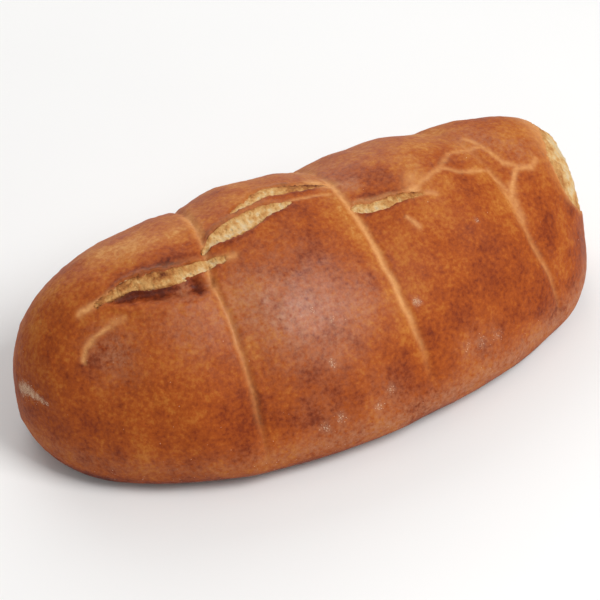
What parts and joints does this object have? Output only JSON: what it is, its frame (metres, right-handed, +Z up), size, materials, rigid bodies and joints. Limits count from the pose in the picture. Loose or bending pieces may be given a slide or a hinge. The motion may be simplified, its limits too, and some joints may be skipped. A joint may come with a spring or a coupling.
{
  "type": "tandoor bread loaf",
  "caption": "Oval white bread loaf baked dark golden brown, with pale cross seams and torn pale splits along its crown.",
  "frame": {"origin": "on the surface the loaf rests on, under the middle of its bounding box", "axes": "+Z up; X along the loaf, +X towards the blunter right-hand end; the torn side faces -Y"},
  "size_m": [0.3, 0.146, 0.0973],
  "materials": {
    "crust": "semi-matt baked crust, golden to reddish brown",
    "crumb": "matt torn crumb, pale straw to cream",
    "flour": "matt dusting of flour"
  },
  "bodies": {
    "root": {"loaf": "crust"}
  },
  "joints": []
}
